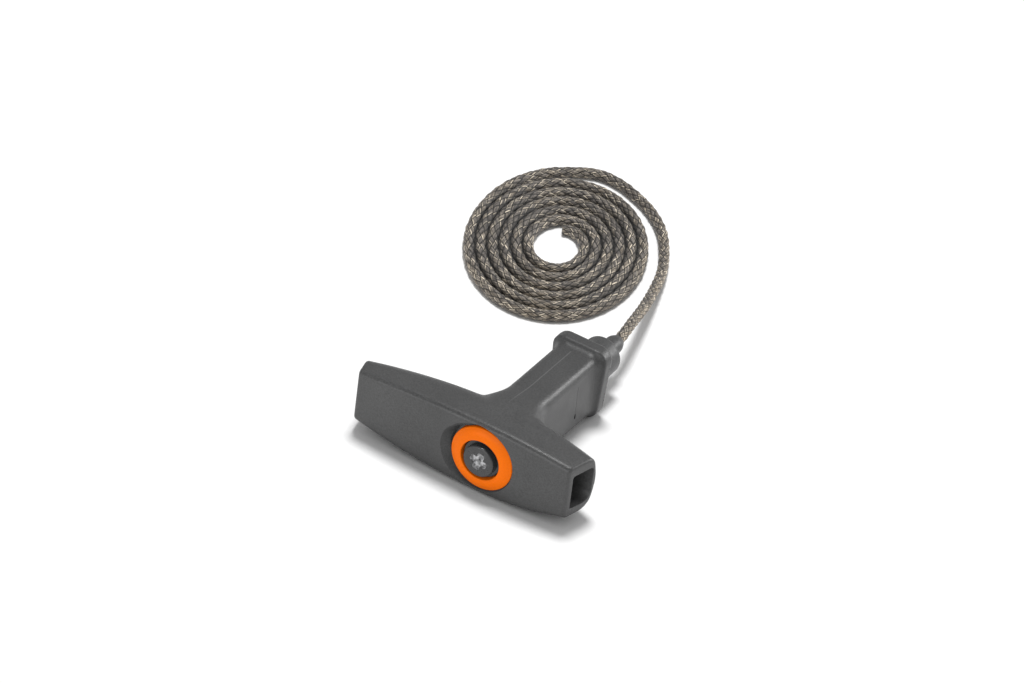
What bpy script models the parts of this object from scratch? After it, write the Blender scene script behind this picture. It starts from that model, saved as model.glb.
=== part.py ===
# Recoil starter handle: a moulded T-shaped pull handle with a sprung rope
# anchor in its bore, and the starter rope that is tied to that anchor.
# The handle lies on its side with the ring facing -Y, the neck towards +Y and
# +Z up.  Every mesh is built in millimetres around the bore's axis (x = 0,
# z = 0, front reference plane y = 0); AXIS_AT puts that point in the part frame,
# whose origin is the bottom centre of the handle.
import math

import bmesh
import bpy
from mathutils import Vector

# ------------------------------------------------------------------ dimensions
MM = 0.001
GAP = 0.3                       # clearance kept between neighbouring pieces

ARM_LEFT = 60.2                 # bore axis to the left end, on the front face
ARM_RIGHT = 38.6                # bore axis to the right end, on the front face
END_SLANT = 0.24                # the end faces lean outwards towards the back
FRONT_MID = -1.9                # front face at the bore (it bows forward)
HALF_MID = 16.6                 # half height of the crossbar at the bore
HALF_END_DROP = (4.2, 5.1)      # how much lower each end is: top, bottom
BACK_MID = 23.4                 # back of the crossbar at the bore
BACK_LEFT = 0.00272             # back taper, left arm (per mm, squared law)
BACK_RIGHT = 0.0051             # back taper, right arm
BACK_CROWN = (2.2, 1.0)         # the back bulges this much: middle and left, right end
R_FRONT = 2.3                   # rounding of the two front edges
R_BACK_TOP = (10.2, 4.8, 3.9)   # middle, left end, right end
R_BACK_LOW = (5.5, 5.5, 7.0)
R_END = 1.2                     # rounding around the end faces

CORE_RIGHT = (23.0, 14.4)       # blind core hole in the right arm: depth, back
CORE_LEFT = (42.0, 11.9)        # the same in the left arm
CORE_FRONT = 2.9
CORE_HALF = 7.9

NECK_HALF_W = 9.5
NECK_HALF_H = 14.8
NECK_R = 4.2
NECK_FILLET = 9.5               # concave blend between neck and crossbar
NECK_FILLET_END = 30.0
NECK_FILLET_REACH = 9.3         # the blend is cut off inside the crossbar
NECK_RISE = (18.0, 33.0)        # the neck's top rises to the crossbar's here
NECK_SINK = (13.5, 34.0)        # and its bottom here
NECK_ROUNDING = 1.1             # corners grow this much rounder as it widens
FLANGE_FRONT = 64.3             # where the neck starts to flare
FLANGE_FLAT = 68.0
FLANGE_REAR = 73.4
FLANGE_HALF_W = 12.6
FLANGE_HALF_H = 16.6
FLANGE_R = 5.6
FLANGE_DRAFT = (0.12, 4.0, 18.0)   # narrows by this share, from this height, over this far

RECESS_R = 16.05                # recess the ring sits in, a little off the axis
RECESS_X = -1.6
RECESS_FLOOR = 3.4
CHAMBER_R = 11.3
CHAMBER_FLOOR = 22.0
DAMPER_BORE_R = 6.5
DAMPER_FLOOR = 54.0
GUIDE_R = 4.5
GUIDE_FLOOR = 61.0
SPIGOT_BORE_R = 5.8

RING_R = 14.15
RING_HOLE_R = 8.7
RING_OUTER_Y = -0.9
RING_INNER_Y = -2.9

CUP_R = 8.3
CUP_FRONT = -1.2
CUP_COLLAR_R = 10.9
TUBE_R = 3.95
TUBE_END = 46.0
POCKET_R = 5.5
POCKET_FLOOR = 7.0
ROPE_HOLE_R = 2.65

PLUG_R = 6.9
PLUG_FACE = -4.1

VENT_AT = (53.6, -7.3)          # y, z of the vent in the neck's right wall

BARREL_R = 8.7                  # large stage of the rear guide
BARREL_END = 89.2
STUB_R = 4.0                    # small stage, the rope leaves it
STUB_END = 99.3

ROPE_D = 4.5
ROPE_LIFT = 0.05                # clearance under the rope on the floor
TRAVEL = 8.0                    # how far the anchor is drawn in

# The rope coil: a flat spiral, wound inwards, laid a little oval.
COIL_CENTRE = (-62.54, 155.69)
COIL_U = (0.775, 0.670)         # stretch of the spiral's own two axes
COIL_V = (-0.725, 1.142)
COIL_R0 = 10.14                 # radius of the spiral at its start line
COIL_PITCH = 4.79
COIL_SHIFT = (0.52, -0.09)      # the turns sit a little off centre
COIL_TURNS = (-0.217, 5.60)     # bare end, and where the outer turn loosens
COIL_LOOSEN = (6.3, 6.2)        # how the outer turn opens away, per turn
COIL_JOIN = 5.64                # the coil's plain solid reaches to here
COIL_LEAVE = 5.75               # the loose stretch leaves the spiral here

# Knots of the loose stretch, from the guide to the coil.
LEAD_KNOTS = (
    (0.0, 99.6, 0.0), (-0.4, 103.0, 0.15), (-1.4, 108.5, -0.2), (-3.0, 114.6, -1.4), (-6.7, 128.8, -5.0),
    (-13.0, 149.0, -10.1), (-20.1, 168.4, -13.4), (-28.2, 183.2, -14.25), (-36.2, 193.6, -14.3),
    (-46.7, 202.0, -14.3), (-57.6, 207.2, -14.3), (-67.8, 210.1, -14.3), (-77.7, 209.4, -14.3),
)

# Bottom centre of the handle's own box, seen from the bore's axis.
BOX_X = (-63.124, 41.990)
BOX_Y = (PLUG_FACE, STUB_END)
AXIS_AT = (-(BOX_X[0] + BOX_X[1]) / 2, -(BOX_Y[0] + BOX_Y[1]) / 2, HALF_MID)
FLOOR = -HALF_MID

SEGS = 48                       # sides of the larger turned pieces


# --------------------------------------------------------------------- helpers
def clear_scene():
    for ob in list(bpy.data.objects):
        bpy.data.objects.remove(ob, do_unlink=True)


def new_collection(name):
    col = bpy.data.collections.new(name)
    bpy.context.scene.collection.children.link(col)
    return col


def material(name, colour, roughness, metallic=0.0):
    mat = bpy.data.materials.new(name)
    mat.use_nodes = True
    bsdf = mat.node_tree.nodes["Principled BSDF"]
    bsdf.inputs["Base Color"].default_value = (*colour, 1.0)
    bsdf.inputs["Roughness"].default_value = roughness
    bsdf.inputs["Metallic"].default_value = metallic
    return mat


def add_object(name, mesh, col, mat=None, cutter=False):
    ob = bpy.data.objects.new(name, mesh)
    col.objects.link(ob)
    ob.location = [v * MM for v in AXIS_AT]
    if mat is not None:
        mesh.materials.append(mat)
    if cutter:
        ob.hide_render = True
        ob.display_type = 'WIRE'
    return ob


def mesh_from(bm, name, smooth=True, angle=35.0):
    bmesh.ops.recalc_face_normals(bm, faces=bm.faces)
    mesh = bpy.data.meshes.new(name)
    bm.to_mesh(mesh)
    bm.free()
    if smooth:
        mesh.shade_smooth()
        mesh.set_sharp_from_angle(angle=math.radians(angle))
    return mesh


def loft(sections, name, smooth=True):
    """Skin through closed sections of equal point count, with end caps."""
    bm = bmesh.new()
    rings = [[bm.verts.new([c * MM for c in p]) for p in sec] for sec in sections]
    n = len(rings[0])
    for a, b in zip(rings, rings[1:]):
        for i in range(n):
            j = (i + 1) % n
            bm.faces.new((a[i], a[j], b[j], b[i]))
    bm.faces.new(rings[0][::-1])
    bm.faces.new(rings[-1])
    return mesh_from(bm, name, smooth)


def turned(profile, name, segs=SEGS, smooth=True):
    """Closed (radius, y) profile turned around the bore's axis."""
    bm = bmesh.new()
    rows = []
    for k in range(segs):
        a = 2 * math.pi * k / segs
        rows.append([bm.verts.new((r * math.cos(a) * MM, y * MM, r * math.sin(a) * MM))
                     for r, y in profile])
    n = len(profile)
    for k in range(segs):
        a, b = rows[k], rows[(k + 1) % segs]
        for i in range(n):
            j = (i + 1) % n
            bm.faces.new((a[i], a[j], b[j], b[i]))
    return mesh_from(bm, name, smooth)


def turned_solid(profile, name, segs=SEGS, smooth=True):
    """Open (radius, y) profile turned around the axis and closed by two discs."""
    bm = bmesh.new()
    rings = []
    for r, y in profile:
        rings.append([bm.verts.new((r * math.cos(2 * math.pi * k / segs) * MM, y * MM,
                                    r * math.sin(2 * math.pi * k / segs) * MM))
                      for k in range(segs)])
    for a, b in zip(rings, rings[1:]):
        for k in range(segs):
            j = (k + 1) % segs
            bm.faces.new((a[k], a[j], b[j], b[k]))
    bm.faces.new(rings[0][::-1])
    bm.faces.new(rings[-1])
    return mesh_from(bm, name, smooth)


def boolean(ob, other, operation):
    mod = ob.modifiers.new(other.name, 'BOOLEAN')
    mod.operation = operation
    mod.object = other
    mod.solver = 'EXACT'
    return mod


def arc(cx, cz, r, a0, a1, steps):
    return [(cx + r * math.cos(math.radians(a0 + (a1 - a0) * i / steps)),
             cz + r * math.sin(math.radians(a0 + (a1 - a0) * i / steps)))
            for i in range(steps + 1)]


# ---------------------------------------------------------- crossbar sections
def bar_size(x):
    """Crossbar at x: front, back at mid height, top, bottom, crown, back radii."""
    left = x < 0
    u = abs(x) / (ARM_LEFT if left else ARM_RIGHT)
    end = 1 if left else 2
    front = FRONT_MID * (1 - u * u)
    back = BACK_MID - (BACK_LEFT if left else BACK_RIGHT) * x * x
    top = HALF_MID - HALF_END_DROP[0] * u * u
    low = HALF_MID - HALF_END_DROP[1] * u * u
    crown = BACK_CROWN[0] + ((0.0 if left else BACK_CROWN[1] - BACK_CROWN[0])) * u * u
    r_top = R_BACK_TOP[0] + (R_BACK_TOP[end] - R_BACK_TOP[0]) * u ** 2.2
    r_low = R_BACK_LOW[0] + (R_BACK_LOW[end] - R_BACK_LOW[0]) * u ** 2.2
    return front, back, top, low, crown, r_top, r_low


def bar_outline(front, back, top, low, crown, r_top, r_low, inset=0.0, steps=4):
    """D-shaped outline in (y, z): flat front, crowned back."""
    f, h, g = front + inset, top - inset, low - inset
    rf = max(R_FRONT - inset, 0.4)
    rt = max(r_top - inset, 0.6)
    rl = max(r_low - inset, 0.6)
    b = back - inset
    c = b - crown                                   # back at the corners
    pts = []
    pts += arc(f + rf, -g + rf, rf, 180, 270, steps)        # front low
    pts += arc(c - rl, -g + rl, rl, 270, 345, steps)        # back low
    z0 = -g + rl + rl * math.sin(math.radians(-15))
    z1 = h - rt + rt * math.sin(math.radians(15))
    y0 = c - rl + rl * math.cos(math.radians(15))
    y1 = c - rt + rt * math.cos(math.radians(15))
    for i in range(1, 7):                                   # crowned back
        t = i / 7
        base = y0 + (y1 - y0) * t
        pts.append((base + (b - (y0 + y1) / 2) * 4 * t * (1 - t), z0 + (z1 - z0) * t))
    pts += arc(c - rt, h - rt, rt, 15, 90, steps)           # back top
    pts += arc(f + rf, h - rf, rf, 90, 180, steps)          # front top
    return pts


def bar_section(x, inset=0.0, push=0.0):
    """One station of the crossbar; stations near an end lean with its face."""
    side = -1 if x < 0 else 1
    length = ARM_LEFT if x < 0 else ARM_RIGHT
    lean = END_SLANT * (abs(x) / length) ** 2
    out = []
    for y, z in bar_outline(*bar_size(x), inset=inset):
        out.append((x + side * (lean * y + push), y, z))
    return out


def crossbar_mesh():
    sections = []
    for side, length in ((-1, ARM_LEFT), (1, ARM_RIGHT)):
        stations = []
        count = 15 if side < 0 else 11
        for i in range(count):
            stations.append((side * (length - R_END) * i / (count - 1), 0.0, 0.0))
        for a in (30, 60, 90):                      # rounded rim of the end face
            ang = math.radians(a)
            stations.append((side * (length - R_END), R_END * (1 - math.cos(ang)),
                             R_END * math.sin(ang)))
        if side < 0:
            sections += [bar_section(x or -1e-6, i, p) for x, i, p in reversed(stations)]
        else:
            sections += [bar_section(x, i, p) for x, i, p in stations[1:]]
    return loft(sections, "crossbar")


# --------------------------------------------------------------- neck, flange
def rounded_rect(w, h, r, steps=4):
    pts = []
    for cx, cz, a in ((w - r, h - r, 0), (-w + r, h - r, 90), (-w + r, -h + r, 180), (w - r, -h + r, 270)):
        pts += arc(cx, cz, r, a, a + 90, steps)
    return pts


def neck_size(y):
    w, h, r = NECK_HALF_W, NECK_HALF_H, NECK_R
    if y < NECK_FILLET_END:
        d = min(NECK_FILLET_END - y, NECK_FILLET_REACH)
        wider = NECK_FILLET - math.sqrt(NECK_FILLET ** 2 - d * d)
        w += wider
        r += NECK_ROUNDING * wider
    if y > FLANGE_FRONT:
        t = min((y - FLANGE_FRONT) / (FLANGE_FLAT - FLANGE_FRONT), 1.0)
        k = 1 - math.sqrt(max(1 - t * t, 0.0))      # quarter-round flare
        w += (FLANGE_HALF_W - NECK_HALF_W) * k
        h += (FLANGE_HALF_H - NECK_HALF_H) * k
        r += (FLANGE_R - NECK_R) * k
    return w, h, r


def flange_draft(x, z, share):
    """The flange draws in towards its lower edge."""
    amount, start, over = FLANGE_DRAFT
    return x * (1 - share * amount * min(max((start - z) / over, 0.0), 1.0))


def neck_section(y):
    """Rounded rectangle whose top and bottom rise to the crossbar's own."""
    w, h, r = neck_size(y)
    share = (h - NECK_HALF_H) / (FLANGE_HALF_H - NECK_HALF_H)
    pts = []
    for x, z in rounded_rect(w, h, r):
        near, far = NECK_RISE if z > 0 else NECK_SINK
        t = min(max((far - y) / (far - near), 0.0), 1.0)
        t = t * t * (3 - 2 * t)
        rise = (bar_size(x)[2 if z > 0 else 3] - 0.12 - h) * t
        pts.append((flange_draft(x, z, share), y, z + math.copysign(rise, z)))
    return pts


def neck_mesh():
    ys = [8.0, 14.0, NECK_RISE[0]]
    for i in range(9):                              # steps around the fillet
        ys.append(NECK_FILLET_END - NECK_FILLET_REACH * math.cos(math.radians(90 * i / 8)))
    ys.append(FLANGE_FRONT)
    for i in range(1, 7):
        ys.append(FLANGE_FRONT + (FLANGE_FLAT - FLANGE_FRONT) * math.sin(math.radians(90 * i / 6)))
    ys.append(FLANGE_REAR - 1.0)
    sections = [neck_section(y) for y in ys]
    for a in (30, 60, 90):                          # rounded rear rim
        ang = math.radians(a)
        i = 1.0 - math.cos(ang)
        sections.append([(flange_draft(x, z, 1.0), FLANGE_REAR - 1.0 + math.sin(ang), z) for x, z in
                         rounded_rect(FLANGE_HALF_W - i, FLANGE_HALF_H - i, FLANGE_R - i)])
    return loft(sections, "neck")


# -------------------------------------------------------------------- cutters
def core_outline(b):
    """Core hole of an arm in (y, z)."""
    f, h = CORE_FRONT, CORE_HALF
    pts = arc(f + 0.8, -h + 0.8, 0.8, 180, 270, 2)
    pts += arc(b - 5.6, -h + 5.2, 5.2, 270, 345, 4)
    pts += arc(b - 2.5, h - 2.2, 2.2, 15, 90, 3)
    pts += arc(f + 1.2, h - 1.2, 1.2, 90, 180, 2)
    return pts


def core_mesh(side, length, depth, back):
    """Core hole that draws in slightly from the arm's open end."""
    def station(at, shrink):
        mid = (CORE_FRONT + back) / 2
        return [(side * (length + END_SLANT * y + at), mid + (y - mid) * shrink, z * shrink)
                for y, z in core_outline(back)]
    inner, outer = station(-depth, 0.96), station(3.0, 1.0)
    return loft([inner, outer] if side > 0 else [outer, inner], "core")


def recess_mesh():
    """Straight round recess in the front face, its middle at RECESS_X."""
    def ring(y):
        return [(RECESS_X + x, y, z) for x, z in arc(0, 0, RECESS_R, 0, 360 * (1 - 1 / 60), 59)]
    return loft([ring(-6.0), ring(RECESS_FLOOR)], "recess")


def slit_mesh():
    """Small drop-shaped vent through the right wall of the neck."""
    pts = []
    for i in range(12):
        a = 2 * math.pi * i / 12
        r = 0.55
        z = r * math.sin(a) * (4.0 if math.sin(a) > 0 else 1.0)
        pts.append((VENT_AT[0] + r * math.cos(a), VENT_AT[1] + z))
    return loft([[(x, y, z) for y, z in pts] for x in (4.0, 12.0)], "vent")


# ------------------------------------------------------------------- the rope
def coil_point(turn, beside=0.0):
    """Middle of the rope on the spiral, or a point square beside it."""
    def at(t):
        a = -2 * math.pi * t
        r = COIL_R0 + COIL_PITCH * t + COIL_SHIFT[0] * math.cos(a) + COIL_SHIFT[1] * math.sin(a)
        over = max(t - COIL_TURNS[1], 0.0)
        r += COIL_LOOSEN[0] * over + COIL_LOOSEN[1] * over * over
        u, v = r * math.cos(a), r * math.sin(a)
        return Vector((COIL_CENTRE[0] + COIL_U[0] * u + COIL_V[0] * v,
                       COIL_CENTRE[1] + COIL_U[1] * u + COIL_V[1] * v,
                       FLOOR + ROPE_D / 2 + ROPE_LIFT))
    run = (at(turn + 0.004) - at(turn - 0.004)).normalized()
    return at(turn) + Vector((-run.y, run.x, 0)) * beside   # outwards is to the left of the run


def smooth_run(points, step):
    """Evenly spaced points on the smooth curve through the given ones."""
    out = []
    for i in range(len(points) - 1):
        p1, p2 = points[i], points[i + 1]
        p0 = points[i - 1] if i else p1 - (p2 - p1)
        p3 = points[i + 2] if i + 2 < len(points) else p2 + (p2 - p1)
        t01, t12, t23 = (max((b - a).length, 1e-6) ** 0.5 for a, b in ((p0, p1), (p1, p2), (p2, p3)))
        m1 = (p2 - p1) + t12 * ((p1 - p0) / t01 - (p2 - p0) / (t01 + t12))
        m2 = (p2 - p1) + t12 * ((p3 - p2) / t23 - (p3 - p1) / (t12 + t23))
        for k in range(24):
            t = k / 24
            out.append((2 * t ** 3 - 3 * t * t + 1) * p1 + (t ** 3 - 2 * t * t + t) * m1
                       + (-2 * t ** 3 + 3 * t * t) * p2 + (t ** 3 - t * t) * m2)
    out.append(points[-1])
    even, left = [out[0]], step
    for a, b in zip(out, out[1:]):
        seg = (b - a).length
        while seg >= left > 0:
            a = a + (b - a) * (left / seg)
            even.append(a.copy())
            seg -= left
            left = step
        left -= seg
    return even


def tube_object(name, points, radius, col, mat, resolution=3):
    curve = bpy.data.curves.new(name, 'CURVE')
    curve.dimensions = '3D'
    curve.bevel_depth = radius * MM
    curve.bevel_resolution = resolution
    curve.use_fill_caps = True
    spline = curve.splines.new('POLY')
    spline.points.add(len(points) - 1)
    for sp, p in zip(spline.points, points):
        sp.co = (p[0] * MM, p[1] * MM, p[2] * MM, 1.0)
    curve.materials.append(mat)
    ob = bpy.data.objects.new(name, curve)
    col.objects.link(ob)
    ob.location = [v * MM for v in AXIS_AT]
    return ob


# ---------------------------------------------------------------------- build
def build():
    clear_scene()
    parts = new_collection("recoil_starter_handle")
    cutters = new_collection("cutters")

    nylon = material("body_nylon", (0.092, 0.092, 0.092), 0.55)
    orange = material("ring_orange", (0.95, 0.21, 0.012), 0.38)
    black = material("anchor_nylon", (0.075, 0.076, 0.078), 0.45)
    plug_grey = material("plug_nylon", (0.10, 0.10, 0.10), 0.45)
    guide_grey = material("guide_nylon", (0.13, 0.13, 0.13), 0.55)
    elastomer = material("damper_elastomer", (0.03, 0.03, 0.03), 0.8)
    braid = material("rope_braid", (0.16, 0.135, 0.105), 0.85)

    # handle body: one moulding
    body = add_object("handle_body", crossbar_mesh(), parts, nylon)
    neck = add_object("neck_form", neck_mesh(), cutters, cutter=True)
    boolean(body, neck, 'UNION')
    for side, length, core_size, name in (
            (-1, ARM_LEFT, CORE_LEFT, "core_left"), (1, ARM_RIGHT, CORE_RIGHT, "core_right")):
        core = add_object(name, core_mesh(side, length, *core_size), cutters, cutter=True)
        boolean(body, core, 'DIFFERENCE')
    recess = add_object("recess_form", recess_mesh(), cutters, cutter=True)
    boolean(body, recess, 'DIFFERENCE')
    bore = add_object("bore_form", turned_solid([
        (CHAMBER_R, -6.0), (CHAMBER_R, CHAMBER_FLOOR), (DAMPER_BORE_R, CHAMBER_FLOOR),
        (DAMPER_BORE_R, DAMPER_FLOOR), (GUIDE_R, DAMPER_FLOOR), (GUIDE_R, GUIDE_FLOOR),
        (SPIGOT_BORE_R, GUIDE_FLOOR), (SPIGOT_BORE_R, FLANGE_REAR + 4)], "bore_form"),
        cutters, cutter=True)
    boolean(body, bore, 'DIFFERENCE')
    vent = add_object("vent_form", slit_mesh(), cutters, cutter=True)
    boolean(body, vent, 'DIFFERENCE')

    # trim ring: dished face, stepped skirt pressed into the chamber
    ring = []
    for i in range(7):                              # crowned face, hole to rim
        t = i / 6
        ring.append((RING_HOLE_R + 0.5 + (RING_R - 0.6 - RING_HOLE_R - 0.5) * t,
                     RING_INNER_Y + (RING_OUTER_Y - 0.35 - RING_INNER_Y) * t - 0.35 * math.sin(math.pi * t)))
    ring += [(RING_R - 0.15, RING_OUTER_Y - 0.05), (RING_R, RING_OUTER_Y + 0.5),
             (RING_R, RECESS_FLOOR - GAP), (CHAMBER_R - GAP, RECESS_FLOOR - GAP),
             (CHAMBER_R - GAP, 7.4), (RING_HOLE_R, 7.4), (RING_HOLE_R, RING_INNER_Y + 0.5)]
    add_object("trim_ring", turned(ring, "trim_ring"), parts, orange)

    # rope anchor: cup for the knot, collar, and a tube that guides the damper
    anchor = [(CUP_R - 0.4, CUP_FRONT), (CUP_R, CUP_FRONT + 0.4), (CUP_R, 7.8), (CUP_COLLAR_R, 7.8),
              (CUP_COLLAR_R, 10.8), (CUP_COLLAR_R - 0.4, 11.2), (TUBE_R, 11.2), (TUBE_R, TUBE_END - 0.5),
              (TUBE_R - 0.5, TUBE_END), (ROPE_HOLE_R, TUBE_END), (ROPE_HOLE_R, POCKET_FLOOR + 1.6),
              (POCKET_R, POCKET_FLOOR), (POCKET_R, CUP_FRONT)]
    add_object("rope_anchor", turned(anchor, "rope_anchor"), parts, black)

    # anchor plug: disc with a four-lobed drive recess, spigot in the cup
    plug = add_object("anchor_plug", turned_solid([
        (PLUG_R - 0.55, PLUG_FACE), (PLUG_R - 0.16, PLUG_FACE + 0.16), (PLUG_R, PLUG_FACE + 0.55),
        (PLUG_R, CUP_FRONT - GAP), (POCKET_R - GAP, CUP_FRONT - GAP), (POCKET_R - GAP, 0.6),
        (POCKET_R - GAP - 0.5, 1.1)], "anchor_plug"), parts, plug_grey)
    for k in range(2):
        w, h = (3.75, 1.45) if k == 0 else (1.45, 3.75)
        slot = loft([[(x, y, z) for x, z in rounded_rect(w, h, 1.0, 3)] for y in (PLUG_FACE - 1, PLUG_FACE + 1.5)],
                    "drive")
        ob = add_object("drive_form_%d" % (k + 1), slot, cutters, cutter=True)
        ob.rotation_euler = (0, math.radians(16), 0)
        boolean(plug, ob, 'DIFFERENCE')

    # damper: ribbed elastomer sleeve between the collar and the bore's shoulder
    ribs = 9
    y0, y1 = 11.2 + GAP, DAMPER_FLOOR - GAP
    step = (y1 - y0) / (ribs - 0.35)
    sleeve = [(4.25, y0)]
    for i in range(ribs):
        a = y0 + i * step
        sleeve += [(6.15, a), (6.15, a + step * 0.65)]
        if i < ribs - 1:
            sleeve += [(5.35, a + step * 0.72), (5.35, a + step * 0.93)]
    sleeve.append((4.25, y1))
    add_object("damper_sleeve", turned(sleeve, "damper_sleeve", 28), parts, elastomer)

    # rear guide: barrel and stub behind the flange, spigot in the flange
    seat = FLANGE_REAR + GAP
    guide = [(ROPE_HOLE_R, GUIDE_FLOOR + 1.0), (SPIGOT_BORE_R - GAP, GUIDE_FLOOR + 1.0),
             (SPIGOT_BORE_R - GAP, seat), (BARREL_R - 0.2, seat), (BARREL_R, seat + 0.2)]
    for a in (0, 25, 50, 70, 90):                   # tapered barrel, rounded rim
        ang = math.radians(a)
        guide.append((BARREL_R - 0.5 - 2.2 * (1 - math.cos(ang)), BARREL_END - 2.2 + 2.2 * math.sin(ang)))
    guide += [(STUB_R + 0.5, BARREL_END), (STUB_R, BARREL_END + 0.5), (STUB_R - 0.12, STUB_END - 3.0),
              (STUB_R - 0.35, STUB_END - 1.6), (STUB_R - 0.75, STUB_END - 0.6), (STUB_R - 1.1, STUB_END),
              (ROPE_HOLE_R + 0.1, STUB_END), (ROPE_HOLE_R, STUB_END - 0.4)]
    add_object("guide_nozzle", turned(guide, "guide_nozzle", 40), parts, guide_grey)

    # rope inside the handle: knot in the cup, then straight through the guide
    r = ROPE_D / 2
    inner = [(1.2, 1.6)]
    for i in range(1, 8):                           # the knot, a round lump
        a = math.pi * i / 8
        inner.append((1.2 + 3.7 * math.sin(a), 4.4 - 2.6 * math.cos(a)))
    inner += [(r, 7.6), (r, STUB_END)]
    add_object("rope_inside", turned_solid(inner, "rope_inside", 20), parts, braid)

    # free stretch of rope, from the guide to the coil
    knots = [Vector(p) for p in LEAD_KNOTS]
    knots += [coil_point(COIL_LEAVE + (COIL_JOIN + 0.003 - COIL_LEAVE) * i / 2) for i in range(3)]
    lead = smooth_run(knots, ROPE_D * 0.8)
    if (lead[-1] - knots[-1]).length < ROPE_D * 0.4:
        lead.pop()
    tube_object("rope_lead", lead + [knots[-1]], ROPE_D / 2, parts, braid, 3)

    # the coil's outer shape, one closed solid
    add_object("rope_coil", coil_mesh(), parts, braid)


def coil_mesh():
    """Flat closed solid: the outside of the last turn, the inside of the first."""
    half = ROPE_D / 2
    outer = [coil_point(COIL_JOIN - i / 72, half) for i in range(73)]
    inner = [coil_point(COIL_TURNS[0] + i / 36, -half) for i in range(37)]
    curve = bpy.data.curves.new("coil_outline", 'CURVE')
    curve.dimensions = '2D'
    curve.fill_mode = 'BOTH'
    curve.extrude = half * MM
    for loop in (outer, inner):
        spline = curve.splines.new('POLY')
        spline.points.add(len(loop) - 1)
        for sp, p in zip(spline.points, loop):
            sp.co = (p.x * MM, p.y * MM, 0.0, 1.0)
        spline.use_cyclic_u = True
    holder = bpy.data.objects.new("coil_outline", curve)
    bpy.context.scene.collection.objects.link(holder)
    bpy.context.view_layer.update()
    evaluated = holder.evaluated_get(bpy.context.evaluated_depsgraph_get())
    mesh = bpy.data.meshes.new_from_object(evaluated)
    bm = bmesh.new()
    bm.from_mesh(mesh)
    bmesh.ops.remove_doubles(bm, verts=bm.verts, dist=0.00001)
    bmesh.ops.translate(bm, verts=bm.verts, vec=(0, 0, (FLOOR + ROPE_LIFT + half) * MM))
    bpy.data.objects.remove(holder, do_unlink=True)
    bpy.data.curves.remove(curve)
    bpy.data.meshes.remove(mesh)
    return mesh_from(bm, "rope_coil", True, 40)


build()
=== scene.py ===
import math

import bmesh
import bpy
import numpy as np
from mathutils import Matrix, Vector
from mathutils.kdtree import KDTree


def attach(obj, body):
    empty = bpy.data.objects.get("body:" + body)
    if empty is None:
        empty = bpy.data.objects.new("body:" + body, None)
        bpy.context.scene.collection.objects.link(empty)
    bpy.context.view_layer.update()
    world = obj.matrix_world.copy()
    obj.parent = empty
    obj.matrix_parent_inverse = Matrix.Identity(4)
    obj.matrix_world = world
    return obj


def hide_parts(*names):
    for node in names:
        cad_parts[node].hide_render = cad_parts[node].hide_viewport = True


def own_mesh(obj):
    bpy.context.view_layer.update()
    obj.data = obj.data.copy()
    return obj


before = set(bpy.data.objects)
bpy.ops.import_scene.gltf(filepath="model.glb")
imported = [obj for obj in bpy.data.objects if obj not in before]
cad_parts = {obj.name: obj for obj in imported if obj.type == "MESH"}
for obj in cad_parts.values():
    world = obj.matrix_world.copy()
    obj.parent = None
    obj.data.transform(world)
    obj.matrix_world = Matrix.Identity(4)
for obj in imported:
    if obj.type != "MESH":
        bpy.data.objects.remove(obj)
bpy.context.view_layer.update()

MM = 0.001
# bore axis on the front reference plane, in the part's frame (mm)
BOX_X = (-63.124, 41.990)
BOX_Y = (-4.1, 99.3)
HALF_MID = 16.6
AXIS_AT = Vector((-(BOX_X[0] + BOX_X[1]) / 2, -(BOX_Y[0] + BOX_Y[1]) / 2, HALF_MID))
FLOOR = -HALF_MID


def place(p):
    """Local millimetres around the bore axis to metres in the part's frame."""
    return ((p[0] + AXIS_AT.x) * MM, (p[1] + AXIS_AT.y) * MM, (p[2] + AXIS_AT.z) * MM)


# ------------------------------------------------------------------- camera
AZ, EL, ROLL = math.radians(28.4), math.radians(37.0), math.radians(7.3)
PX_PER_MM = 2.56
DIST = 3333.3                                       # mm
ORIGIN_PX = (483.4, 457.1)

right = Vector((math.cos(AZ), math.sin(AZ), 0))
up = Vector((-math.sin(AZ) * math.sin(EL), math.cos(AZ) * math.sin(EL), math.cos(EL)))
back = Vector((math.sin(AZ) * math.cos(EL), -math.cos(AZ) * math.cos(EL), math.sin(EL)))
cam_r = right * math.cos(ROLL) + up * math.sin(ROLL)
cam_u = -right * math.sin(ROLL) + up * math.cos(ROLL)
eye = AXIS_AT + back * DIST
aim = AXIS_AT + cam_r * ((512.0 - ORIGIN_PX[0]) / PX_PER_MM) + cam_u * ((ORIGIN_PX[1] - 341.5) / PX_PER_MM)
z_axis = (eye - aim).normalized()
x_axis = (cam_r - z_axis * cam_r.dot(z_axis)).normalized()
y_axis = z_axis.cross(x_axis)
cam_data = bpy.data.cameras.new("photo_camera")
cam_data.sensor_width = 36.0
cam_data.lens = 36.0 * PX_PER_MM * DIST / 1024.0
cam_data.clip_start = 0.1
cam_data.clip_end = 50.0
camera = bpy.data.objects.new("photo_camera", cam_data)
bpy.context.scene.collection.objects.link(camera)
m = Matrix((x_axis, y_axis, z_axis)).transposed().to_4x4()
m.translation = eye * MM
camera.matrix_world = m
bpy.context.scene.camera = camera


# ------------------------------------------------------------------ helpers
def smooth_mesh(mesh, angle=40.0):
    mesh.shade_smooth()
    mesh.set_sharp_from_angle(angle=math.radians(angle))
    return mesh


def mesh_object(name, mesh, mat=None):
    ob = bpy.data.objects.new(name, mesh)
    bpy.context.scene.collection.objects.link(ob)
    if mat is not None:
        mesh.materials.clear()
        mesh.materials.append(mat)
    return ob


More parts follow.
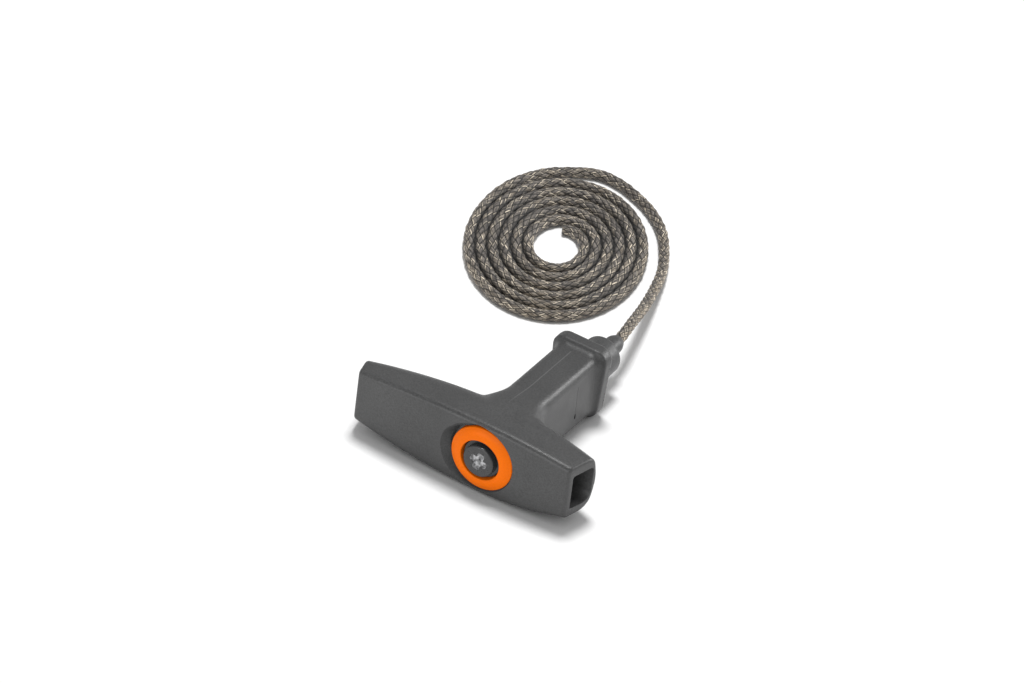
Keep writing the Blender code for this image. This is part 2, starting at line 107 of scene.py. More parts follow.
def loft(sections, name, caps=True):
    bm = bmesh.new()
    rings = [[bm.verts.new(place(p)) for p in sec] for sec in sections]
    n = len(rings[0])
    for a, b in zip(rings, rings[1:]):
        for i in range(n):
            j = (i + 1) % n
            bm.faces.new((a[i], a[j], b[j], b[i]))
    if caps:
        bm.faces.new(rings[0][::-1])
        bm.faces.new(rings[-1])
    bmesh.ops.recalc_face_normals(bm, faces=bm.faces)
    mesh = bpy.data.meshes.new(name)
    bm.to_mesh(mesh)
    bm.free()
    return mesh


def turned(profile, name, segs=144, closed=True):
    """(radius, y) profile turned around the bore axis."""
    bm = bmesh.new()
    rows = []
    for k in range(segs):
        a = 2 * math.pi * k / segs
        rows.append([bm.verts.new(place((r * math.cos(a), y, r * math.sin(a)))) for r, y in profile])
    n = len(profile)
    for k in range(segs):
        a, b = rows[k], rows[(k + 1) % segs]
        for i in range(n if closed else n - 1):
            j = (i + 1) % n
            bm.faces.new((a[i], a[j], b[j], b[i]))
    if not closed:
        bm.faces.new([r[0] for r in rows])
        bm.faces.new([r[-1] for r in rows][::-1])
    bmesh.ops.recalc_face_normals(bm, faces=bm.faces)
    mesh = bpy.data.meshes.new(name)
    bm.to_mesh(mesh)
    bm.free()
    return mesh


def rounded_profile(points, radii, steps=5):
    """Closed polygon in (r, y) with each corner rounded by its own radius."""
    out = []
    n = len(points)
    for i in range(n):
        p, q, s = Vector(points[i - 1]), Vector(points[i]), Vector(points[(i + 1) % n])
        rad = radii[i]
        if rad <= 0:
            out.append(tuple(q))
            continue
        a, b = (p - q), (s - q)
        t = min(rad, a.length * 0.48, b.length * 0.48)
        a, b = q + a.normalized() * t, q + b.normalized() * t
        for k in range(steps + 1):
            u = k / steps
            v = a * (1 - u) ** 2 + q * 2 * u * (1 - u) + b * u * u
            out.append((v.x, v.y))
    return out


def arc(cx, cz, r, a0, a1, steps):
    return [(cx + r * math.cos(math.radians(a0 + (a1 - a0) * i / steps)),
             cz + r * math.sin(math.radians(a0 + (a1 - a0) * i / steps))) for i in range(steps + 1)]


def rounded_rect(w, h, r, steps=8):
    pts = []
    for cx, cz, a in ((w - r, h - r, 0), (-w + r, h - r, 90), (-w + r, -h + r, 180), (w - r, -h + r, 270)):
        pts += arc(cx, cz, r, a, a + 90, steps)
    return pts


def evaluated_mesh(ob, name):
    bpy.context.view_layer.update()
    mesh = bpy.data.meshes.new_from_object(ob.evaluated_get(bpy.context.evaluated_depsgraph_get()))
    mesh.name = name
    return mesh


def cut(mesh, cutters, operation='DIFFERENCE'):
    ob = mesh_object("work_piece", mesh)
    tools = []
    for c in cutters:
        t = mesh_object("work_tool", c)
        mod = ob.modifiers.new("cut", 'BOOLEAN')
        mod.operation = operation
        mod.object = t
        mod.solver = 'EXACT'
        tools.append(t)
    out = evaluated_mesh(ob, mesh.name)
    for t in tools + [ob]:
        bpy.data.objects.remove(t, do_unlink=True)
    return out


# ---------------------------------------------------------------- materials
class Nodes:
    def __init__(self, name):
        self.mat = bpy.data.materials.new(name)
        self.mat.use_nodes = True
        self.tree = self.mat.node_tree
        self.bsdf = self.tree.nodes["Principled BSDF"]
        self.coords = self.tree.nodes.new("ShaderNodeTexCoord")

    def add(self, kind, **inputs):
        node = self.tree.nodes.new(kind)
        for k, v in inputs.items():
            if hasattr(node, k) and k not in node.inputs:
                setattr(node, k, v)
        return node

    def link(self, a, b):
        self.tree.links.new(a, b)

    def noise(self, scale, detail=4.0, rough=0.5, vec=None, dist=0.0):
        n = self.tree.nodes.new("ShaderNodeTexNoise")
        n.inputs["Scale"].default_value = scale
        n.inputs["Detail"].default_value = detail
        n.inputs["Roughness"].default_value = rough
        n.inputs["Distortion"].default_value = dist
        self.link(vec or self.coords.outputs["Object"], n.inputs["Vector"])
        return n.outputs["Fac"]

    def math(self, op, a, b=None, c=None, clamp=False):
        n = self.tree.nodes.new("ShaderNodeMath")
        n.operation = op
        n.use_clamp = clamp
        for i, v in enumerate((a, b, c)):
            if v is None:
                continue
            if isinstance(v, (int, float)):
                n.inputs[i].default_value = v
            else:
                self.link(v, n.inputs[i])
        return n.outputs[0]

    def ramp(self, fac, stops):
        n = self.tree.nodes.new("ShaderNodeValToRGB")
        el = n.color_ramp.elements
        while len(el) < len(stops):
            el.new(0.5)
        for e, (pos, col) in zip(el, stops):
            e.position = pos
            e.color = (*col, 1.0) if len(col) == 3 else col
        self.link(fac, n.inputs[0])
        return n.outputs[0]

    def mix(self, fac, a, b, blend='MIX'):
        n = self.tree.nodes.new("ShaderNodeMix")
        n.data_type = 'RGBA'
        n.blend_type = blend
        for sock, v in ((n.inputs[0], fac), (n.inputs[6], a), (n.inputs[7], b)):
            if isinstance(v, (int, float)):
                sock.default_value = v
            elif isinstance(v, tuple):
                sock.default_value = (*v, 1.0)
            else:
                self.link(v, sock)
        return n.outputs[2]

    def remap(self, v, a, b, c, d):
        n = self.tree.nodes.new("ShaderNodeMapRange")
        for i, x in enumerate((a, b, c, d)):
            n.inputs[i + 1].default_value = x
        self.link(v, n.inputs[0])
        return n.outputs[0]

    def bump(self, height, strength, distance, normal=None):
        n = self.tree.nodes.new("ShaderNodeBump")
        n.inputs["Strength"].default_value = strength
        n.inputs["Distance"].default_value = distance
        self.link(height, n.inputs["Height"])
        if normal is not None:
            self.link(normal, n.inputs["Normal"])
        return n.outputs[0]

    def separate(self, vec):
        n = self.tree.nodes.new("ShaderNodeSeparateXYZ")
        self.link(vec, n.inputs[0])
        return n.outputs

    def set(self, sock, v):
        if isinstance(v, (int, float)):
            self.bsdf.inputs[sock].default_value = v
        elif isinstance(v, tuple):
            self.bsdf.inputs[sock].default_value = (*v, 1.0)
        else:
            self.link(v, self.bsdf.inputs[sock])


def plastic(name, base, rough, grain=1.0, vary=0.12, spec=0.5, speck=0.10):
    n = Nodes(name)
    big = n.noise(38.0, 3.0, 0.55)
    fine = n.noise(1500.0, 3.0, 0.65)
    micro = n.noise(5200.0, 1.0, 0.5)
    shade = n.remap(big, 0.3, 0.7, 1.0 - vary, 1.0 + vary)
    dots = n.remap(fine, 0.3, 0.7, 1.0 - speck, 1.0 + speck)
    amount = n.math('MULTIPLY', shade, dots)
    col = n.mix(1.0, base, amount, 'MULTIPLY')
    n.set("Base Color", col)
    patch = n.noise(95.0, 4.0, 0.6)
    r = n.math('ADD', n.remap(patch, 0.3, 0.7, rough - 0.05, rough + 0.05),
               n.remap(fine, 0.3, 0.7, -0.05, 0.05))
    n.set("Roughness", r)
    n.bsdf.inputs["Specular IOR Level"].default_value = spec
    height = n.math('ADD', n.math('MULTIPLY', fine, 0.7), n.math('MULTIPLY', micro, 0.3))
    n.set("Normal", n.bump(height, min(0.4 * grain, 1.0), 0.0001))
    return n


# ------------------------------------------------------------- handle body
ARM_LEFT, ARM_RIGHT, END_SLANT = 60.2, 38.6, 0.24


def bar_size(x):
    left = x < 0
    u = abs(x) / (ARM_LEFT if left else ARM_RIGHT)
    return (-1.9 * (1 - u * u), 23.4 - (0.00272 if left else 0.0051) * x * x, HALF_MID - 4.2 * u * u,
            HALF_MID - 5.1 * u * u, 2.2 if left else 2.2 - 1.2 * u * u,
            10.2 - (5.4 if left else 6.3) * u ** 2.2, 5.5 + (0.0 if left else 1.5) * u ** 2.2)


def bar_outline(front, rear, top, low, crown, r_top, r_low, inset=0.0, steps=9):
    f, h, g = front + inset, top - inset, low - inset
    rf, rt, rl = max(2.3 - inset, 0.4), max(r_top - inset, 0.6), max(r_low - inset, 0.6)
    b = rear - inset
    c = b - crown
    pts = arc(f + rf, -g + rf, rf, 180, 270, steps)
    pts += arc(c - rl, -g + rl, rl, 270, 345, steps)
    z0, z1 = -g + rl - rl * math.sin(math.radians(15)), h - rt + rt * math.sin(math.radians(15))
    y0, y1 = c - rl + rl * math.cos(math.radians(15)), c - rt + rt * math.cos(math.radians(15))
    for i in range(1, 16):
        t = i / 16
        pts.append((y0 + (y1 - y0) * t + (b - (y0 + y1) / 2) * 4 * t * (1 - t), z0 + (z1 - z0) * t))
    pts += arc(c - rt, h - rt, rt, 15, 90, steps)
    pts += arc(f + rf, h - rf, rf, 90, 180, steps)
    return pts


def bar_section(x, inset, push):
    side, length = (-1, ARM_LEFT) if x < 0 else (1, ARM_RIGHT)
    lean = END_SLANT * (abs(x) / length) ** 2
    return [(x + side * (lean * y + push), y, z) for y, z in bar_outline(*bar_size(x), inset=inset)]


R_END = 1.2
sections = []
for side, length, count in ((-1, ARM_LEFT, 46), (1, ARM_RIGHT, 30)):
    stations = [(side * (length - R_END) * i / (count - 1), 0.0, 0.0) for i in range(count)]
    for ang in (math.radians(a) for a in (15, 30, 45, 60, 75, 90)):
        stations.append((side * (length - R_END), R_END * (1 - math.cos(ang)), R_END * math.sin(ang)))
    if side < 0:
        sections += [bar_section(x or -1e-6, i, p) for x, i, p in reversed(stations)]
    else:
        sections += [bar_section(x, i, p) for x, i, p in stations[1:]]
crossbar = loft(sections, "crossbar")

NECK_END, NECK_FILLET, NECK_REACH = 30.0, 9.5, 9.35


def neck_size(y):
    w, h, r = 9.5, 14.8, 4.2
    if y < NECK_END:
        d = min(NECK_END - y, NECK_REACH)
        wider = NECK_FILLET - math.sqrt(NECK_FILLET ** 2 - d * d)
        w, r = w + wider, r + 1.1 * wider
    if y > 64.3:
        t = min((y - 64.3) / 3.7, 1.0)
        k = 1 - math.sqrt(max(1 - t * t, 0.0))
        w, h, r = w + 3.1 * k, h + 1.8 * k, r + 1.4 * k
    return w, h, r


def flange_draft(x, z, share):
    return x * (1 - share * 0.12 * min(max((4.0 - z) / 18.0, 0.0), 1.0))


def neck_section(y):
    w, h, r = neck_size(y)
    share = (h - 14.8) / 1.8
    pts = []
    for x, z in rounded_rect(w, h, r):
        a, b = (17.0, 35.0) if z > 0 else (13.5, 34.0)
        t = min(max((b - y) / (b - a), 0.0), 1.0)
        t = t * t * (3 - 2 * t)
        pts.append((flange_draft(x, z, share), y, z + math.copysign((bar_size(x)[2 if z > 0 else 3] - 0.1 - h) * t, z)))
    return pts


ys = [8.0, 14.0] + [NECK_END - NECK_REACH * math.cos(math.radians(90 * i / 24)) for i in range(25)]
ys += [34.0 + (64.3 - 34.0) * i / 10 for i in range(11)]
ys += [64.3 + 3.7 * math.sin(math.radians(90 * i / 14)) for i in range(1, 15)]
ys += [70.0, 72.4]
sections = [neck_section(y) for y in sorted(set(ys))]
for ang in (math.radians(a) for a in (20, 40, 60, 80, 90)):
    i = 1 - math.cos(ang)
    sections.append([(flange_draft(x, z, 1.0), 72.4 + math.sin(ang), z)
                     for x, z in rounded_rect(12.6 - i, 16.6 - i, 5.6 - i)])
neck = loft(sections, "neck")

bm = bmesh.new()
bm.from_mesh(crossbar)
bm.from_mesh(neck)
skin = bpy.data.meshes.new("skin")
bm.to_mesh(skin)
bm.free()
ob = mesh_object("work_skin", skin)
mod = ob.modifiers.new("fuse", 'REMESH')
mod.mode = 'VOXEL'
mod.voxel_size = 0.00052
mod.adaptivity = 0.0
skin = evaluated_mesh(ob, "skin")
bpy.data.objects.remove(ob, do_unlink=True)

# ease the blend between crossbar and neck, and lightly the whole skin
count = len(skin.vertices)
co = np.empty(count * 3)
skin.vertices.foreach_get("co", co)
co = co.reshape(-1, 3)
edges = np.empty(len(skin.edges) * 2, dtype=np.int64)
skin.edges.foreach_get("vertices", edges)
ea, eb = edges.reshape(-1, 2).T
degree = np.bincount(np.r_[ea, eb], minlength=count).astype(float)


def relax(points, weight, rounds):
    for _ in range(rounds):
        mean = np.empty_like(points)
        for k in range(3):
            mean[:, k] = (np.bincount(ea, points[eb, k], count) + np.bincount(eb, points[ea, k], count)) / degree
        points = points + (mean - points) * weight[:, None]
    return points


local = co / MM - np.array(AXIS_AT)
near = np.clip(1 - np.abs(np.abs(local[:, 0]) - 8.0) / 17.0, 0, 1) ** 0.5
near *= np.clip(1 - np.abs(local[:, 1] - 21.5) / 10.5, 0, 1) ** 0.5
near = np.clip(near * 1.3, 0, 1) * np.clip((local[:, 2] - 2.0) / 6.0, 0.25, 1)
floor_touch = (local[:, 2] < -15.2) & (local[:, 1] < 15.5)
near[floor_touch] = 0
co = relax(co, 0.55 * near, 40)
co = relax(co, np.full(count, 0.35), 2)
co[:, 2] = np.maximum(co[:, 2], 0.00001)
skin.vertices.foreach_set("co", co.ravel())
skin.update()


def core_outline(b, grow=0.0):
    f, h = 2.9 - grow, 7.9 + grow
    b = b + grow
    pts = arc(f + 0.8, -h + 0.8, 0.8, 180, 270, 4)
    pts += arc(b - 5.6, -h + 5.2, 5.2, 270, 345, 10)
    pts += arc(b - 2.5, h - 2.2, 2.2, 15, 90, 7)
    pts += arc(f + 1.2, h - 1.2, 1.2, 90, 180, 5)
    return pts


def core(side, length, depth, b):
    def station(at, grow, shrink=1.0):
        mid = (2.9 + b) / 2
        return [(side * (length + END_SLANT * y + at), mid + (y - mid) * shrink, z * shrink)
                for y, z in core_outline(b, grow)]
    rows = [station(-depth, 0, 0.95), station(-depth * 0.6, 0, 0.98), station(-0.55, 0), station(-0.3, 0.06),
            station(-0.12, 0.18), station(0.0, 0.34), station(2.5, 0.34)]
    return loft(rows if side > 0 else rows[::-1], "core")


# an oval dish, wider towards the long arm and a little flat at its upper corner there:
# half width, half height, shift, flatness, depth
dish = ((17.7, 16.2, 2.3, 0.06, -6.0), (17.3, 15.9, 2.3, 0.06, -2.4), (16.85, 15.45, 2.25, 0.07, -1.8),
        (16.5, 15.0, 2.2, 0.09, -1.4), (16.1, 14.7, 1.9, 0.11, -0.8), (15.2, 14.45, 0.95, 0.06, 0.9),
        (15.05, 14.4, 0.78, 0.04, 1.3), (15.0, 14.4, 0.7, 0.03, 1.7), (15.0, 14.4, 0.7, 0.03, 3.4))


def dish_row(rx, rz, off, flat, y, count=160):
    out = []
    for k in range(count):
        a = 2 * math.pi * k / count
        c = math.cos(a)
        t = min(max(-c / 0.45, 0.0), 1.0)
        low = flat * t * t * (3 - 2 * t) if math.sin(a) > 0 else 0.0
        out.append((rx * c - off, y, rz * math.sin(a) * (1 - low)))
    return out


recess = loft([dish_row(*row) for row in dish], "recess")
bore = turned([(11.3, -6.0), (11.3, 22.0), (6.5, 22.0), (6.5, 54.0), (4.5, 54.0), (4.5, 61.0),
               (5.8, 61.0), (5.8, 73.15), (6.1, 73.4), (6.1, 78.0)], "bore", 144, closed=False)

vent_pts = []
for i in range(28):
    a = 2 * math.pi * i / 28
    vent_pts.append((53.5 + 0.5 * math.cos(a), -7.1 + (2.2 if math.sin(a) > 0 else 0.7) * math.sin(a)))
vent = loft([[(x, y, z) for y, z in vent_pts] for x in (4.0, 12.0)], "vent")
slit_pts = [(53.42, -5.0), (53.58, -5.0), (53.25, 8.5), (53.15, 8.5)]
slit = loft([[(x, y, z) for y, z in slit_pts] for x in (9.42, 12.0)], "slit")

skin = cut(skin, [recess, bore, core(-1, ARM_LEFT, 42.0, 11.9), core(1, ARM_RIGHT, 23.0, 14.4), vent, slit])

# worn notches along the flange's right rear edge
notches = []
for row, (off, y) in enumerate(((0.0, 72.0), (0.8, 73.0))):
    for k in range(12):
        z = 8.0 - off - 1.6 * k
        w = 0.28 + 0.1 * math.sin(5.1 * k + 2.3 * row)
        notches.append((flange_draft(12.6, z, 1.0) - 0.28 - 0.12 * row, y, z, w))
parts_list = []
for x, y, z, w in notches:
    sec = [[(x + dx, y + dy, z + dz * w) for dx, dz in ((0, -1), (0.9, -1.2), (0.9, 1.2), (0, 1))] for dy in (-0.27, 0.27)]
    parts_list.append(loft(sec, "notch"))
bm = bmesh.new()
for p in parts_list:
    bm.from_mesh(p)
notch_mesh = bpy.data.meshes.new("notches")
bm.to_mesh(notch_mesh)
bm.free()
skin = cut(skin, [notch_mesh])

body_mat = plastic("body_nylon_textured", (0.0495, 0.0496, 0.0500), 0.41, grain=2.4, speck=0.30)
# a fine parting line along the top of the neck
n = body_mat
sx, sy, sz = n.separate(n.coords.outputs["Object"])
line_x = (AXIS_AT.x - 1.3) * MM
d = n.math('ABSOLUTE', n.math('SUBTRACT', sx, line_x))
on = n.math('MULTIPLY', n.remap(d, 0.0, 0.00028, 1.0, 0.0), n.math('GREATER_THAN', sz, 0.0295))
on = n.math('MULTIPLY', on, n.math('LESS_THAN', sy, (AXIS_AT.y + 63.5) * MM))
on = n.math('MULTIPLY', on, n.remap(sy, (AXIS_AT.y + 16.0) * MM, (AXIS_AT.y + 24.0) * MM, 0.0, 1.0))
old = n.bsdf.inputs["Base Color"].links[0].from_socket
n.set("Base Color", n.mix(n.math('MULTIPLY', on, 0.55), old, (0.17, 0.17, 0.17)))
smooth_mesh(skin, 38)
body = mesh_object("body_skin", skin, body_mat.mat)
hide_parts("handle_body")
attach(body, "handle")

# ---------------------------------------------------------------- trim ring
face = []
for i in range(13):
    t = i / 12
    face.append((9.2 + (13.68 - 9.2) * t, -2.9 + 1.42 * t - 0.34 * math.sin(math.pi * t)))
ring_profile = [(8.72, -2.45), (8.8, -2.72), (8.95, -2.86)] + face
ring_profile += [(13.9, -1.38), (14.05, -1.2), (14.13, -0.9), (14.15, -0.4), (14.15, 2.7), (13.95, 3.05), (11.05, 3.05),
                 (11.0, 3.1), (11.0, 7.3), (10.9, 7.4), (8.8, 7.4), (8.72, 7.3)]
ring_mat = plastic("ring_orange_satin", (0.86, 0.153, 0.001), 0.36, grain=0.35, vary=0.04, spec=0.08, speck=0.05)
ring = mesh_object("ring_visual", smooth_mesh(turned(ring_profile, "ring_visual", 180), 40), ring_mat.mat)
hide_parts("trim_ring")
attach(ring, "handle")
ring.visible_diffuse = False                        # no orange cast on the dish and the floor
ring.visible_glossy = False

# -------------------------------------------------------------- rope anchor
pts = [(8.3, -1.2), (8.3, 7.8), (10.9, 7.8), (10.9, 11.2), (3.95, 11.2), (3.95, 46.0), (2.65, 46.0), (2.65, 8.6),
       (5.5, 7.0), (5.5, -1.2)]
rad = [0.6, 0.2, 0.3, 0.4, 0.3, 0.5, 0.2, 0.3, 0.3, 0.3]
anchor_mat = plastic("anchor_nylon_smooth", (0.022, 0.023, 0.025), 0.34, grain=0.4)
anchor = mesh_object("anchor_visual", smooth_mesh(turned(rounded_profile(pts, rad), "anchor_visual", 120), 40), anchor_mat.mat)
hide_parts("rope_anchor")
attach(anchor, "anchor")

# -------------------------------------------------------------- anchor plug
prof = [(0.45, -4.02), (3.0, -4.06), (6.15, -4.1), (6.45, -4.05), (6.7, -3.9), (6.84, -3.7), (6.9, -3.45), (6.9, -1.62),
        (6.78, -1.5), (5.2, -1.5), (5.2, 0.7), (4.8, 1.1)]
plug_mesh = turned(prof, "plug_visual", 120, closed=False)
cross = []
turn = math.radians(16)
for k in range(2):
    w, h = (3.75, 1.5) if k == 0 else (1.5, 3.95)
    rows = []
    for y, g in ((-5.2, 0.45), (-4.1, 0.38), (-3.95, 0.16), (-3.7, 0.0), (-2.75, -0.12), (-2.6, -0.3)):
        rows.append([(x * math.cos(turn) + z * math.sin(turn), y, -x * math.sin(turn) + z * math.cos(turn))
                     for x, z in rounded_rect(w + g, h + g, 0.95, 6)])
    cross.append(loft(rows, "cross"))
plug_mesh = cut(plug_mesh, cross)
pin = turned([(0.02, -3.55), (0.4, -3.5), (0.62, -3.2), (0.66, -2.4), (0.02, -2.4)], "pin", 24, closed=False)
bm = bmesh.new()
bm.from_mesh(plug_mesh)
bm.from_mesh(pin)
bm.to_mesh(plug_mesh)
bm.free()
plug_mat = plastic("plug_nylon_smooth", (0.034, 0.034, 0.035), 0.30, grain=0.5)
# painted highlight: the floor of the drive recess is painted light grey, mottled by noise, in place of its glossy
# reflections
n = plug_mat
px_, py_, pz_ = n.separate(n.coords.outputs["Object"])
recess_highlight = n.math('MULTIPLY', n.remap(py_, (AXIS_AT.y - 3.95) * MM, (AXIS_AT.y - 3.6) * MM, 0.0, 1.0),
              n.math('LESS_THAN', py_, (AXIS_AT.y - 2.3) * MM))
wide_r = n.math('SQRT', n.math('ADD', n.math('POWER', n.math('SUBTRACT', px_, AXIS_AT.x * MM), 2.0),
                               n.math('POWER', n.math('SUBTRACT', pz_, AXIS_AT.z * MM), 2.0)))
recess_highlight = n.math('MULTIPLY', recess_highlight, n.math('LESS_THAN', wide_r, 5.4 * MM))
highlight_mottle = n.remap(n.noise(800.0, 2.0, 0.5), 0.40, 0.58, 0.30, 1.0)
old = n.bsdf.inputs["Base Color"].links[0].from_socket
# painted highlight: light grey mixed into the base colour on the recess floor
n.set("Base Color", n.mix(n.math('MULTIPLY', recess_highlight, highlight_mottle), old, (0.52, 0.52, 0.53)))
plug = mesh_object("plug_visual", smooth_mesh(plug_mesh, 32), plug_mat.mat)
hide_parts("anchor_plug")
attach(plug, "anchor")

# ------------------------------------------------------------- guide nozzle
pts = [(2.65, 62.0), (5.5, 62.0), (5.5, 73.7), (8.7, 73.7), (8.2, 89.2), (4.4, 89.2), (3.95, 90.0), (3.9, 97.0), (2.9, 99.3), (2.65, 99.3)]
rad = [0.2, 0.5, 0.1, 0.5, 2.6, 0.1, 0.9, 1.6, 0.3, 0.2]
guide_mat = plastic("guide_nylon_textured", (0.052, 0.0522, 0.0526), 0.43, grain=2.0, speck=0.28)
guide = mesh_object("guide_visual", smooth_mesh(turned(rounded_profile(pts, rad, 8), "guide_visual", 120), 40), guide_mat.mat)
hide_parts("guide_nozzle")
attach(guide, "handle")

# --------------------------------------------------------------------- rope
ROPE_D = 4.5
REST = FLOOR + ROPE_D / 2 + 0.05
COIL_CENTRE, COIL_U, COIL_V = (-62.54, 155.69), (0.775, 0.670), (-0.725, 1.142)


def coil_point(t):
    a = -2 * math.pi * t
    r = 10.14 + 4.79 * t + 0.52 * math.cos(a) - 0.09 * math.sin(a)
    over = max(t - 5.60, 0.0)
    r += 6.3 * over + 6.2 * over * over
    u, v = r * math.cos(a), r * math.sin(a)
    return Vector((COIL_CENTRE[0] + COIL_U[0] * u + COIL_V[0] * v, COIL_CENTRE[1] + COIL_U[1] * u + COIL_V[1] * v, REST))


knots = [Vector(p) for p in (
    (0.0, 99.34, 0.0), (-0.4, 103.0, 0.15), (-1.4, 108.5, -0.2), (-3.0, 114.6, -1.4), (-6.7, 128.8, -5.0),
    (-13.0, 149.0, -10.1), (-20.1, 168.4, -13.4), (-28.2, 183.2, -14.25), (-36.2, 193.6, -14.3),
    (-46.7, 202.0, -14.3), (-57.6, 207.2, -14.3), (-67.8, 210.1, -14.3), (-77.7, 209.4, -14.3))]
steps = int((5.75 + 0.217) * 72)
knots += [coil_point(5.75 + (-0.217 - 5.75) * i / steps) for i in range(steps + 1)]


def smooth_run(points, per):
    out = []
    for i in range(len(points) - 1):
        p1, p2 = points[i], points[i + 1]
        p0 = points[i - 1] if i else p1 - (p2 - p1)
        p3 = points[i + 2] if i + 2 < len(points) else p2 + (p2 - p1)
        t01, t12, t23 = (max((b - a).length, 1e-6) ** 0.5 for a, b in ((p0, p1), (p1, p2), (p2, p3)))
        m1 = (p2 - p1) + t12 * ((p1 - p0) / t01 - (p2 - p0) / (t01 + t12))
        m2 = (p2 - p1) + t12 * ((p3 - p2) / t23 - (p3 - p1) / (t12 + t23))
        k_max = max(int((p2 - p1).length / per), 1)
        for k in range(k_max):
            t = k / k_max
            out.append((2 * t ** 3 - 3 * t * t + 1) * p1 + (t ** 3 - 2 * t * t + t) * m1
                       + (-2 * t ** 3 + 3 * t * t) * p2 + (t ** 3 - t * t) * m2)
    out.append(points[-1])
    return out


line = np.array([tuple(p) for p in smooth_run(knots, 0.5)])
line[:, 2] = np.maximum(line[:, 2], REST)
seg = np.linalg.norm(np.diff(line, axis=0), axis=1)
run = np.r_[0, np.cumsum(seg)]
ROPE_LENGTH = float(run[-1])
STEP = 0.46
rings = int(ROPE_LENGTH / STEP) + 1
at = np.linspace(0, ROPE_LENGTH, rings)
centre = np.stack([np.interp(at, run, line[:, k]) for k in range(3)], axis=1)
for _ in range(6):                                  # even out the interpolation
    centre[1:-1] = 0.5 * centre[1:-1] + 0.25 * (centre[:-2] + centre[2:])
tangent = np.gradient(centre, axis=0)
tangent /= np.linalg.norm(tangent, axis=1)[:, None]
side_v = np.cross(tangent, np.array([0.0, 0.0, 1.0]))
side_v /= np.linalg.norm(side_v, axis=1)[:, None]
up_v = np.cross(side_v, tangent)

# the braid's own length: it follows the coil's round form, and is a little closer along the loose stretch
coil_form = np.linalg.inv(np.array([COIL_U, COIL_V]).T)
round_step = np.linalg.norm(np.diff(centre[:, :2], axis=0) @ coil_form.T, axis=1)
in_coil = np.clip((at[:-1] - 70.0) / 90.0, 0, 1)
braid_at = np.r_[0, np.cumsum(np.diff(at) * 1.15 * (1 - in_coil) + round_step * in_coil)]

STRANDS = 6
LAY = 30.3                                          # length of one turn of a strand
AROUND = 28
uu, vv = np.meshgrid(np.arange(AROUND) / AROUND, braid_at, indexing="xy")
twist = 0.35 * np.sin(at / 47.0) + 0.2 * np.sin(at / 19.0 + 1.0)
wob = 0.10 * np.sin(vv * 1.3 + 4.0 * uu) * np.sin(vv * 0.23)
A = STRANDS * (uu + (vv + wob) / LAY)
B = STRANDS * (uu - (vv - wob) / LAY)
fa, fb = A - np.floor(A), B - np.floor(B)
over = ((np.floor(A) + np.floor(B)) % 2) < 0.5
across = np.where(over, fa, fb)
along = np.where(over, fb, fa)
crown = np.clip(1 - np.abs(2 * across - 1) ** 2.4, 0, 1) ** 0.6
arch = np.sin(np.pi * np.clip(along, 0, 1)) ** 0.7
height = crown * (0.35 + 0.65 * arch)
strand_id = np.where(over, np.floor(A) % STRANDS, STRANDS + np.floor(B) % STRANDS)
swell = 0.06 * np.sin(strand_id * 2.4 + vv * 0.31) * arch
radius = 1.74 + 0.62 * height + swell
radius = np.minimum(radius, 2.40)
end = np.clip((at[-1] - at) / 0.9, 0, 1)
radius *= (0.80 + 0.20 * np.sqrt(end))[:, None]
ang = 2 * np.pi * uu + twist[:, None]
# how deep each point lies in the groove between two turns (it sets the painted shade there), and how far it is to the
# rope's outer side
tree = KDTree(rings)
for i, p in enumerate(centre):
    tree.insert(p, i)
tree.balance()
beside = np.zeros((2, rings))                       # a turn on the outer side, on the inner side
for i in range(0, rings, 4):
    for p, j, dist in tree.find_range(centre[i], 6.4):
        if abs(i - j) * STEP > 15:
            share = min(max((6.4 - dist) / 1.2, 0.0), 1.0)
            k = 0 if float(np.dot(np.array(p) - centre[i], side_v[i])) > 0 else 1
            beside[k, i:i + 4] = np.maximum(beside[k, i:i + 4], share)
around_c, around_s = np.cos(ang), np.sin(ang)
reach = np.where(around_c > 0, beside[0][:, None], beside[1][:, None])
depth = np.clip((np.abs(around_c) - 0.42) / 0.42, 0, 1)
groove = reach * np.where(around_s < 0, 1.0, depth)
outer = np.clip((around_c - 0.15) / 0.7, 0, 1)
broad = 1 + 0.20 * reach                            # pressed flat where turns touch
pos = centre[:, None, :] + radius[:, :, None] * ((around_c * broad)[:, :, None] * side_v[:, None, :]
                                                 + around_s[:, :, None] * up_v[:, None, :])
pos[:, :, 2] = np.maximum(pos[:, :, 2], FLOOR + 0.04)
verts = (pos.reshape(-1, 3) + np.array(AXIS_AT)) * MM
i0 = (np.arange(rings - 1)[:, None] * AROUND + np.arange(AROUND)[None, :])
i1 = (np.arange(rings - 1)[:, None] * AROUND + (np.arange(AROUND)[None, :] + 1) % AROUND)
quads = np.stack([i0, i1, i1 + AROUND, i0 + AROUND], axis=2).reshape(-1, 4)
mesh = bpy.data.meshes.new("rope_visual")
mesh.vertices.add(len(verts))
mesh.vertices.foreach_set("co", verts.ravel())
caps = [list(range(AROUND))[::-1], [(rings - 1) * AROUND + i for i in range(AROUND)]]
loops = np.r_[quads.ravel(), np.array(caps[0] + caps[1])]
mesh.loops.add(len(loops))
mesh.loops.foreach_set("vertex_index", loops)
starts = np.r_[np.arange(len(quads)) * 4, len(quads) * 4, len(quads) * 4 + AROUND]
mesh.polygons.add(len(starts))
mesh.polygons.foreach_set("loop_start", starts)
mesh.update(calc_edges=True)
uv = mesh.uv_layers.new(name="rope")
ring_v = np.repeat(braid_at[:-1], AROUND)
ring_v1 = np.repeat(braid_at[1:], AROUND)
col_u = np.tile(np.arange(AROUND) / AROUND, rings - 1)
quad_uv = np.stack([np.stack([col_u, ring_v], 1), np.stack([col_u + 1 / AROUND, ring_v], 1),
                    np.stack([col_u + 1 / AROUND, ring_v1], 1), np.stack([col_u, ring_v1], 1)], axis=1)
cap_uv = np.zeros((2 * AROUND, 2))
cap_uv[AROUND:, 1] = braid_at[-1]
uv.data.foreach_set("uv", np.r_[quad_uv.reshape(-1, 2), cap_uv].ravel())
